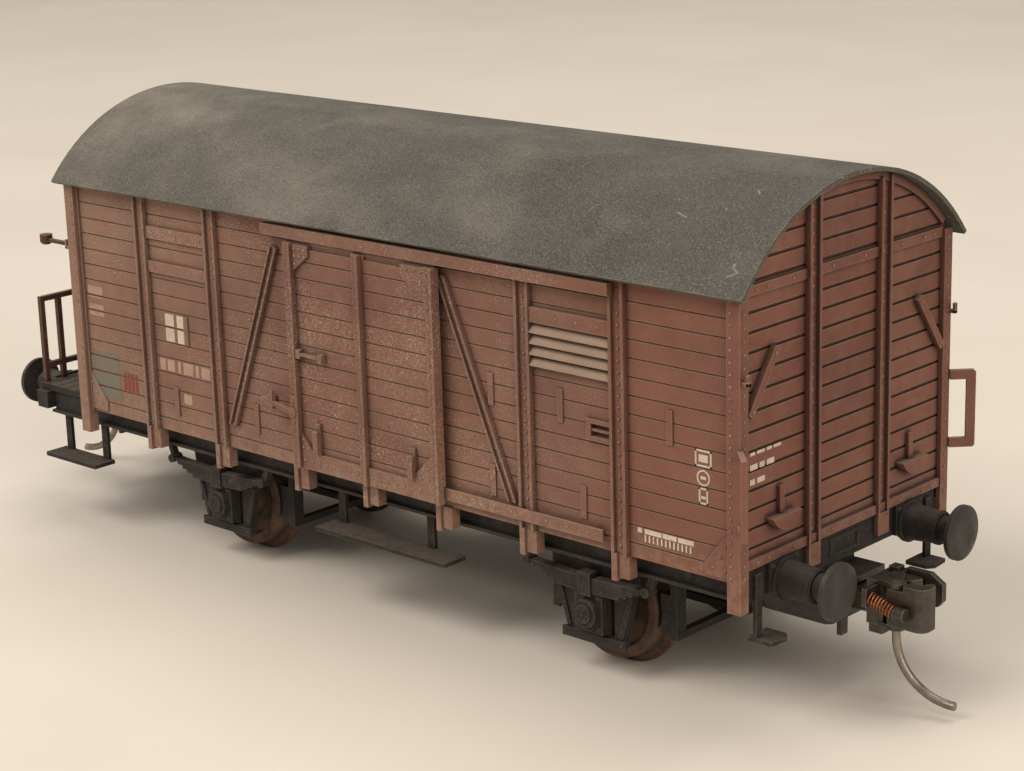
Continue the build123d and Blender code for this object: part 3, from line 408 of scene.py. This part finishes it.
FINISHES = {
    "body_paint": body_paint("body_paint"),
    "roof_paint": roof_paint("roof_paint"),
    "bare_plastic": frame_paint("bare_plastic", 0.25, 0.45, WARM_BROWN, DUST),
    "underframe_plastic": frame_paint("underframe_plastic"),
    "railing_plastic": frame_paint("railing_plastic", 0.3, 0.5, DARK_BROWN, DUST),
    "ballast_steel": bare_metal("ballast_steel", BALLAST_STEEL, BALLAST_STAIN, 0.4),
    "axle_steel": bare_metal("axle_steel", AXLE_STEEL, AXLE_STAIN, 0.4),
    "bush_plastic": frame_paint("bush_plastic", 0.2, 0.35, SOOT_AND_SHADE),
    "bearing_brass": bare_metal("bearing_brass", BRASS, BRASS_STAIN, 0.3),
    "buffer_metal": frame_paint("buffer_metal", 0.26, 0.36, BUFFER_BLACK, BUFFER_DUST),
    "coupler_metal": bare_metal("coupler_metal", CAST_METAL, CAST_STAIN, 0.36, 0.8, CAST_WEAR),
    "coupler_plastic": frame_paint("coupler_plastic", 0.25, 0.3, BOX_BLACK),
    "spring_bronze": bare_metal("spring_bronze", BRONZE, BRONZE_STAIN, 0.3),
    "pin_steel": bare_metal("pin_steel", PIN_STEEL, PIN_STAIN, 0.34),
    "screw_steel": bare_metal("screw_steel", SCREW_STEEL, SCREW_STAIN, 0.35),
    "end_paint": body_paint("end_paint", END_PLANK, FIRST_END_JOINT, 0.9, 0.5),
    "step_board": frame_paint("step_board", 0.6, 0.7),
    "axle_box": frame_paint("axle_box", 0.5, 0.6),
}
WHEEL_FINISH = {end: wheel_paint(f"wheel_metal_{end}", end) for end in ENDS}
SPECIAL = {
    "long_step_right": "step_board", "long_step_left": "step_board", "platform_steps": "step_board",
    "corner_steps": "step_board", "platform_deck": "step_board",
    "end_wall_front": "end_paint", "end_wall_rear": "end_paint",
}

for entry in frame["record"]["subparts"]:
    node = frame["nodes"][entry["node"]]
    key = entry["material_slot"]
    if key == "wheel_metal":
        finish = WHEEL_FINISH["front" if "front" in entry["node"] else "rear"]
    elif entry["node"].startswith("axle_box"):
        finish = FINISHES["axle_box"]
    else:
        finish = FINISHES[SPECIAL.get(entry["node"], key)]
    node.data.materials.clear()
    node.data.materials.append(finish)


# Pieces added to the CAD model

class Piece:
    """Simple solids gathered into one mesh."""

    def __init__(self, name):
        self.name = name
        self.mesh = bmesh.new()

    def block(self, place, u, z, d, taper=0.0):
        """A box between ranges on a face; taper draws its outer side in."""
        rings = []
        for depth, draw in ((d[0], 0.0), (d[1], taper)):
            corners = ((u[0] + draw, z[0] + draw), (u[1] - draw, z[0] + draw),
                       (u[1] - draw, z[1] - draw), (u[0] + draw, z[1] - draw))
            rings.append([self.mesh.verts.new(place(a, b, depth)) for a, b in corners])
        self.skin(rings)

    def skin(self, rings):
        """Closes a stack of rings with side faces and two caps."""
        count = len(rings[0])
        for low, high in zip(rings, rings[1:]):
            for i in range(count):
                j = (i + 1) % count
                self.mesh.faces.new((low[i], low[j], high[j], high[i]))
        self.mesh.faces.new(rings[0][::-1])
        self.mesh.faces.new(rings[-1])

    def turned(self, place, u, z, profile, sides=12):
        """A turned form standing on a face; profile lists (radius, d)."""
        rings = []
        for radius, depth in profile:
            rings.append([self.mesh.verts.new(place(u + radius * cos(2 * pi * i / sides),
                                                    z + radius * sin(2 * pi * i / sides), depth))
                          for i in range(sides)])
        self.skin(rings)

    def rivet(self, place, u, z, d, radius=SMALL_RIVET):
        """A round-headed rivet."""
        profile = ((radius, d - 0.03), (radius, d + 0.02), (radius * 0.86, d + radius * 0.42),
                   (radius * 0.5, d + radius * 0.66), (radius * 0.15, d + radius * 0.74))
        self.turned(place, u, z, profile, 10)

    def bolt(self, place, u, z, d, radius=0.2, height=0.16):
        """A hexagon head on a washer, with the end of its thread."""
        washer, thread = radius * 1.35, radius * 0.45
        head = ((radius, d + 0.04), (radius, d + height * 0.8), (radius * 0.8, d + height))
        self.turned(place, u, z, ((washer, d - 0.03), (washer, d + 0.05)), 14)
        self.turned(place, u, z, head, 6)
        self.turned(place, u, z, ((thread, d + height * 0.9), (thread, d + height * 1.5)), 10)

    def hoop(self, sections):
        """Joins cross-sections into a closed ring."""
        count = len(sections[0])
        for here, after in zip(sections, sections[1:] + sections[:1]):
            for i in range(count):
                j = (i + 1) % count
                self.mesh.faces.new((here[i], here[j], after[j], after[i]))

    def tube(self, points, radius, sides=10):
        """A round wire along a line of points, given in metres."""
        rings = []
        side = None
        for i, point in enumerate(points):
            before = points[max(i - 1, 0)]
            after = points[min(i + 1, len(points) - 1)]
            along = (after - before).normalized()
            if side is None:
                side = along.orthogonal().normalized()
            side = (side - along * side.dot(along)).normalized()
            other = along.cross(side)
            turns = [2 * pi * k / sides for k in range(sides)]
            rings.append([self.mesh.verts.new(point + radius * MM * (side * cos(t) + other * sin(t)))
                          for t in turns])
        self.skin(rings)

    def done(self, body, slot, finish=None, bevel=0.0):
        """Makes the object, shades it, and lets it ride on a body."""
        bmesh.ops.recalc_face_normals(self.mesh, faces=self.mesh.faces)
        data = bpy.data.meshes.new(self.name)
        self.mesh.to_mesh(data)
        self.mesh.free()
        data.shade_smooth()
        data.set_sharp_from_angle(angle=radians(38))
        piece = bpy.data.objects.new(self.name, data)
        bpy.context.scene.collection.objects.link(piece)
        data.materials.append(finish or FINISHES[slot])
        if bevel:
            rounding = piece.modifiers.new("rounding", "BEVEL")
            rounding.width = bevel * MM
            rounding.segments = 2
            rounding.limit_method = "ANGLE"
            rounding.angle_limit = radians(40)
        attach(piece, body)
        return piece


def rivet_line(piece, place, start, end, step, d, radius=SMALL_RIVET):
    """Rivets evenly spaced between two (u, z) points."""
    run, climb = end[0] - start[0], end[1] - start[1]
    count = max(1, round(hypot(run, climb) / step))
    for i in range(count + 1):
        share = i / count
        piece.rivet(place, start[0] + run * share, start[1] + climb * share, d, radius)


def side_rivets(name, side):
    """Rivets on one side wall's posts, braces, gussets and rails."""
    piece = Piece(f"side_rivets_{name}")
    place = side_face(side)
    for u in POSTS:
        rivet_line(piece, place, (u, POST_FOOT), (u, EAVES + 0.2), RIVET_STEP, SIDE_FACE + POST_WEB, RIVET)
    for start, end in BRACES:
        rivet_line(piece, place, start, end, 1.25, SIDE_FACE + 0.2)
    for hand in (-1, 1):
        corner = hand * 44.5
        rivet_line(piece, place, (corner, CORNER_FOOT), (corner, EAVES), RIVET_STEP, CORNER_FACE, 0.16)
        for u, z in ((43.6, 17.4), (43.0, 16.3), (42.2, 15.2), (43.6, 15.2)):
            piece.rivet(place, hand * u, z, SIDE_FACE + 0.15, RIVET)
    for u in (13.5, 16.5, 19.2, 23.5, 26.0, 28.6):
        piece.rivet(place, u, 15.6, RAIL_FACE)
    hatch_boards, vent_board = SIDE_FACE + 0.3, SIDE_FACE + 0.4
    for u in (-31.4, -29.5, -27.6, -25.7, -23.8):
        piece.rivet(place, u, 35.55, hatch_boards)
        piece.rivet(place, u, 31.9, hatch_boards)
    for u in (22.6, 24.9, 27.3, 29.8):
        piece.rivet(place, u, 34.65, vent_board)
    piece.done("wagon", "body_paint")


def side_vent(name, side):
    """The slats of one louvred vent, each sloping down and outwards."""
    piece = Piece(f"vent_slats_{name}")
    place = side_face(side)
    slats, highest, pitch = 4, 33.75, 1.02
    thick, drop, lip = 0.1, 0.68, 15.9
    for i in range(slats):
        top = highest - pitch * i
        ring = ((top, SIDE_FACE), (top - drop, lip), (top - drop - thick, lip), (top - thick, SIDE_FACE))
        piece.skin([[piece.mesh.verts.new(place(u, z, d)) for z, d in ring] for u in (21.68, 31.02)])
    piece.done("wagon", "body_paint", VENT_PAINT)


def door_rivets(name, side):
    """Rivets on one sliding door's frame and gussets."""
    piece = Piece(f"door_rivets_{name}")
    place = side_face(side, DOOR_SHIFT)
    for stile in (-9.75, 9.55):
        rivet_line(piece, place, (stile, 15.2), (stile, 37.0), 1.1, DOOR_FRAME)
    rivet_line(piece, place, (-0.2, 17.2), (-0.2, 36.6), 1.1, DOOR_FRAME, 0.13)
    rivet_line(piece, place, (-8.6, 15.5), (8.6, 15.5), RIVET_STEP, DOOR_FRAME)
    clusters = ((-8.6, 37.0), (-7.9, 37.0), (-7.2, 37.0), (-8.6, 36.3), (-7.9, 36.3), (-7.2, 36.3),
                (-8.6, 35.5),
                (8.7, 37.0), (7.8, 37.0), (6.8, 37.0), (8.7, 36.1), (7.8, 36.1), (8.7, 35.2),
                (-8.7, 16.8), (-7.9, 16.8), (-8.7, 17.6), (8.7, 16.8), (7.8, 16.8), (8.7, 17.9))
    for u, z in clusters:
        piece.rivet(place, u, z, DOOR_FRAME, 0.16)
    for z in (19.2, 21.4):
        piece.rivet(place, -9.7, z, DOOR_FRAME + 0.15)
    piece.done(f"door_{name}", "body_paint")


def end_rivets(name, end):
    """Rivets on one end wall's posts, corner posts and lamp strips."""
    piece = Piece(f"end_rivets_{name}")
    place = end_face(end)
    for hand in (-1, 1):
        post, corner = hand * END_POST, hand * 15.45
        rivet_line(piece, place, (post, 16.6), (post, 45.4), 1.15, END_FACE + POST_WEB, RIVET)
        rivet_line(piece, place, (corner, CORNER_FOOT), (corner, EAVES), 1.15, CORNER_END_FACE, 0.16)
        for u, z in ((11.1, 33.9), (14.3, 29.4)):
            piece.rivet(place, hand * u, z, END_FACE + 0.6, RIVET)
    for u in (-13.4, -11.8, -8.2, -2.4, 2.4, 8.2, 11.8, 13.4):
        piece.rivet(place, u, 15.72, END_FACE + 0.4, 0.16)
        piece.rivet(place, u, 39.75, END_FACE + 0.25, 0.16)
    piece.done("wagon", "body_paint")


def lamp_brackets(name, end):
    """Two pointed lamp brackets standing out from the corner posts."""
    piece = Piece(f"lamp_brackets_{name}")
    place = end_face(end)
    for hand in (-1, 1):
        width = sorted((hand * 15.5, hand * 15.9))
        foot, tip = 46.0, 46.3
        piece.block(place, width, (32.0, 32.35), (CORNER_END_FACE - 0.05, tip))
        corners = ((width[0], foot), (width[0], tip), (width[1], tip), (width[1], foot))
        piece.skin([[piece.mesh.verts.new(place(u, z, d)) for u, d in corners] for z in (32.0, 33.0)])
    piece.done("wagon", "body_paint", bevel=0.04)


VENT_PAINT = frame_paint("vent_paint", 0.5, 0.6, VENT_BROWN, DUST)
for side_name, side in SIDES.items():
    side_rivets(side_name, side)
    side_vent(side_name, side)
    door_rivets(side_name, side)
for end_name, end in ENDS.items():
    end_rivets(end_name, end)
    lamp_brackets(end_name, end)


# Printed marks, all blank: plain frames, bars and patches

def print_block(piece, place, u, z, d=SIDE_FACE):
    """A printed bar."""
    piece.block(place, u, z, (d - PRINT_SINK, d + PRINT_RISE))


def mark_blocks(piece, place, u, z, d, joints):
    """A printed patch, broken where the planks meet."""
    edges = [z[0]] + [j for j in joints if z[0] < j < z[1]] + [z[1]]
    for low, high in zip(edges, edges[1:]):
        bottom = low + (JOINT_GAP if low != z[0] else 0.0)
        top = high - (JOINT_GAP if high != z[1] else 0.0)
        if top > bottom:
            print_block(piece, place, u, (bottom, top), d)


def blank_frame(piece, place, u, z, line, d, joints):
    """A printed outline."""
    mark_blocks(piece, place, (u[0], u[1]), (z[0], z[0] + line), d, joints)
    mark_blocks(piece, place, (u[0], u[1]), (z[1] - line, z[1]), d, joints)
    mark_blocks(piece, place, (u[0], u[0] + line), z, d, joints)
    mark_blocks(piece, place, (u[1] - line, u[1]), z, d, joints)


def blank_ring(piece, place, u, z, radius, line, d):
    """A printed ring."""
    sides = 28
    low, high = d - PRINT_SINK, d + PRINT_RISE
    corners = ((radius - line, low), (radius, low), (radius, high), (radius - line, high))
    sections = []
    for i in range(sides):
        across, up = cos(2 * pi * i / sides), sin(2 * pi * i / sides)
        sections.append([piece.mesh.verts.new(place(u + r * across, z + r * up, depth))
                         for r, depth in corners])
    piece.hoop(sections)


SIDE_JOINTS = [FIRST_JOINT + PLANK * i for i in range(15)]
WHITE_PRINT = print_paint("white_print", PRINT_WHITE, 0.6)
FAINT_PRINT = print_paint("faint_print", PRINT_FAINT, 0.6)
GREEN_PRINT = print_paint("green_print", PRINT_GREEN, 0.62)
RED_PRINT = print_paint("red_print", PRINT_RED, 0.56)


def side_marks(name, side):
    """Blank marks in the places where such a wagon carries its data."""
    place = side_face(side)
    white = Piece(f"white_marks_{name}")
    blank_frame(white, place, (40.2, 42.0), (23.98, 25.5), 0.17, SIDE_FACE, SIDE_JOINTS)
    print_block(white, place, (40.6, 41.6), (24.4, 25.08))
    blank_frame(white, place, (40.6, 41.6), (20.62, 22.1), 0.17, SIDE_FACE, SIDE_JOINTS)
    print_block(white, place, (40.85, 41.35), (21.1, 21.35))
    blank_ring(white, place, 41.1, 23.0, 0.72, 0.15, SIDE_FACE)
    print_block(white, place, (40.8, 41.4), (22.85, 23.15))
    for i in range(12):
        low = 34.5 + 0.46 * i
        print_block(white, place, (low, low + 0.16), (15.8, 16.45))
    for u, wide in ((33.7, 0.5), (34.5, 1.9), (36.5, 1.6), (38.25, 1.75)):
        print_block(white, place, (u, u + wide), (16.55, 17.0))
    for u in (-30.5, -28.6):
        mark_blocks(white, place, (u, u + 1.4), (23.75, 27.0), SIDE_FACE, SIDE_JOINTS)
    white.done("wagon", "body_paint", WHITE_PRINT)
    faint = Piece(f"faint_marks_{name}")
    for u, wide in ((-31.8, 0.9), (-30.6, 1.2), (-28.9, 0.5), (-28.0, 1.6), (-26.0, 0.5), (-25.1, 1.4)):
        mark_blocks(faint, place, (u, u + wide), (20.75, 22.0), SIDE_FACE, SIDE_JOINTS)
    mark_blocks(faint, place, (-28.2, -26.9), (17.5, 18.6), SIDE_FACE, SIDE_JOINTS)
    for z in (25.0, 27.0):
        mark_blocks(faint, place, (-43.4, -40.9), (z, z + 1.3), SIDE_FACE, SIDE_JOINTS)
    faint.done("wagon", "body_paint", FAINT_PRINT)
    panel = Piece(f"blank_panel_{name}")
    mark_blocks(panel, place, (-44.0, -38.9), (16.0, 21.0), SIDE_FACE, SIDE_JOINTS)
    panel.done("wagon", "body_paint", GREEN_PRINT)
    patch = Piece(f"red_patch_{name}")
    for i in range(4):
        mark_blocks(patch, place, (-38.3 + 0.66 * i, -37.85 + 0.66 * i), (17.0, 19.3), SIDE_FACE, SIDE_JOINTS)
    patch.done("wagon", "body_paint", RED_PRINT)


for side_name, side in SIDES.items():
    side_marks(side_name, side)

end_marks = Piece("end_marks")
front = end_face(1)
END_JOINTS = [FIRST_END_JOINT + END_PLANK * i for i in range(14)]
for row in range(3):
    z = 25.3 - 1.3 * row
    spot = -14.0
    for i in range(4 - row):
        wide = 0.7 + 0.35 * ((i + row) % 2)
        mark_blocks(end_marks, front, (spot, spot + wide), (z, z + 0.5), END_FACE, END_JOINTS)
        spot += wide + 0.3
end_marks.done("wagon", "body_paint", WHITE_PRINT)


# Buffer bolts, axle box bolts and other small ironwork

for end_name, end in ENDS.items():
    head = FRONT_HEAD if end > 0 else REAR_HEAD
    bolts = Piece(f"buffer_bolts_{end_name}")
    place = end_face(end)
    for hand in (-1, 1):
        for du in (-1.7, 1.7):
            for dz in (-0.65, 1.55):
                bolts.bolt(place, hand * BUFFER_HALF + du, BUFFER_Z + dz, head + 0.47)
    bolts.done("wagon", "underframe_plastic")

for side_name, side in SIDES.items():
    ironwork = Piece(f"axle_guard_rivets_{side_name}")
    place = side_face(side)
    for end in ENDS.values():
        middle = -side * (node_middle("axle_front" if end > 0 else "axle_rear").x - CENTRE) / MM
        for du in (-1.25, 1.25):
            for z in (5.0, 8.1):
                ironwork.bolt(place, middle + du, z, 13.3)
        for hand in (-1, 1):
            for z in (5.0, 6.4, 7.8):
                ironwork.rivet(place, middle + hand * (3.25 + 0.28 * (z - 5.0)), z, 12.46, 0.13)
            ironwork.rivet(place, middle + hand * 3.4, 3.65, 12.7, 0.16)
        stud = ((0.12, 14.18), (0.1, 14.28))
        for i in range(6):
            turn = i * pi / 3
            ironwork.turned(place, middle + 0.62 * cos(turn), AXLE_Z + 0.62 * sin(turn), stud, 6)
        ironwork.turned(place, middle, AXLE_Z, stud, 6)
    rivet_line(ironwork, place, (-40, 13.3), (40, 13.3), 4.0, 13.5, 0.14)
    ironwork.done("wagon", "underframe_plastic")


# Full-length springs beside the knuckles, riding on the couplers in place of the CAD knuckle springs

def coil_points(start, along, turns, radius, length, steps=18):
    """Points on a coil."""
    side = along.orthogonal().normalized()
    other = along.cross(side)
    total = turns * steps
    return [start + along * (length * MM * i / total)
            + radius * MM * (side * cos(2 * pi * i / steps) + other * sin(2 * pi * i / steps))
            for i in range(total + 1)]


SEAT_X, SEAT_Y, SEAT_Z = 50.05, 3.15, 10.5
COIL_RUN, COIL_DROP = 2.45, 0.77
COIL_TURNS, COIL_RADIUS, COIL_WIRE = 8, 0.56, 0.08

for end_name, end in ENDS.items():
    shift = 0 if end > 0 else REAR_SHIFT
    sloping = Vector((end * COIL_RUN, 0, -COIL_DROP))
    seat = Vector((CENTRE + end * (SEAT_X + shift) * MM, -end * SEAT_Y * MM, SEAT_Z * MM))
    spring = Piece(f"spring_coil_{end_name}")
    points = coil_points(seat, sloping.normalized(), COIL_TURNS, COIL_RADIUS, sloping.length)
    spring.tube(points, COIL_WIRE, 8)
    coil = spring.done(f"coupler_{end_name}", "spring_bronze")
    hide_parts(f"knuckle_spring_{end_name}")
    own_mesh(coil)


# Floor, lights and camera

def plain_floor():
    """A wide pale floor under the wheels."""
    size = 6.0
    level = cad_box[0][2]
    data = bpy.data.meshes.new("floor_plane")
    corners = [(-size, -size, level), (size, -size, level), (size, size, level), (-size, size, level)]
    data.from_pydata(corners, [], [(0, 1, 2, 3)])
    floor = bpy.data.objects.new("floor_plane", data)
    bpy.context.scene.collection.objects.link(floor)
    look = Finish("floor_finish")
    look.color = FLOOR_PALE
    look.coat(look.band(look.noise(60, 3), 0.3, 0.7), FLOOR_SHADE)
    data.materials.append(look.finish(0.85, look.noise(1.5, 4), 0.08, 0.05))


def area_light(name, position, target, size, power, color):
    """A soft square light aimed at a point."""
    lamp = bpy.data.lights.new(name, "AREA")
    lamp.shape = "SQUARE"
    lamp.size = size
    lamp.energy = power
    lamp.color = color
    holder = bpy.data.objects.new(name, lamp)
    holder.location = position
    holder.rotation_euler = (Vector(target) - Vector(position)).to_track_quat("-Z", "Y").to_euler()
    bpy.context.scene.collection.objects.link(holder)


LIGHTS = (
    ("key_light", (-0.25, -0.62, 0.75), 0.55, 6.4, (1.0, 0.95, 0.88)),
    ("fill_light", (0.75, -0.25, 0.42), 0.6, 3.6, (1.0, 0.94, 0.86)),
    ("top_light", (0.0, 0.25, 0.9), 0.6, 3.6, (1.0, 0.96, 0.9)),
)


def studio():
    """Soft key light from the left, weaker fill from the right, and an even pale surround."""
    target = (0.0, 0.0, 0.025)
    for name, position, size, power, color in LIGHTS:
        area_light(name, position, target, size, power, color)
    world = bpy.data.worlds.new("surround")
    world.use_nodes = True
    surround = world.node_tree.nodes["Background"]
    surround.inputs["Color"].default_value = (0.95, 0.9, 0.82, 1.0)
    surround.inputs["Strength"].default_value = 0.33
    bpy.context.scene.world = world


CAMERA_PLACE = (166.17, -167.19, 85.74)
CAMERA_AZIMUTH = 43.07
CAMERA_ELEVATION = 15.66
CAMERA_ROLL = -1.68
CAMERA_LENS = 83.28


def camera():
    """The camera, looking down a little at the near front corner."""
    data = bpy.data.cameras.new("camera")
    data.lens = CAMERA_LENS
    data.sensor_width = 36.0
    data.clip_start = 0.01
    data.clip_end = 30.0
    view = bpy.data.objects.new("camera", data)
    turn = (Matrix.Rotation(radians(CAMERA_AZIMUTH), 4, "Z")
            @ Matrix.Rotation(radians(90 - CAMERA_ELEVATION), 4, "X")
            @ Matrix.Rotation(radians(CAMERA_ROLL), 4, "Z"))
    view.matrix_world = Matrix.Translation(Vector(CAMERA_PLACE) * MM) @ turn
    bpy.context.scene.collection.objects.link(view)
    bpy.context.scene.camera = view


plain_floor()
studio()
camera()
bpy.context.scene.view_settings.view_transform = "Standard"
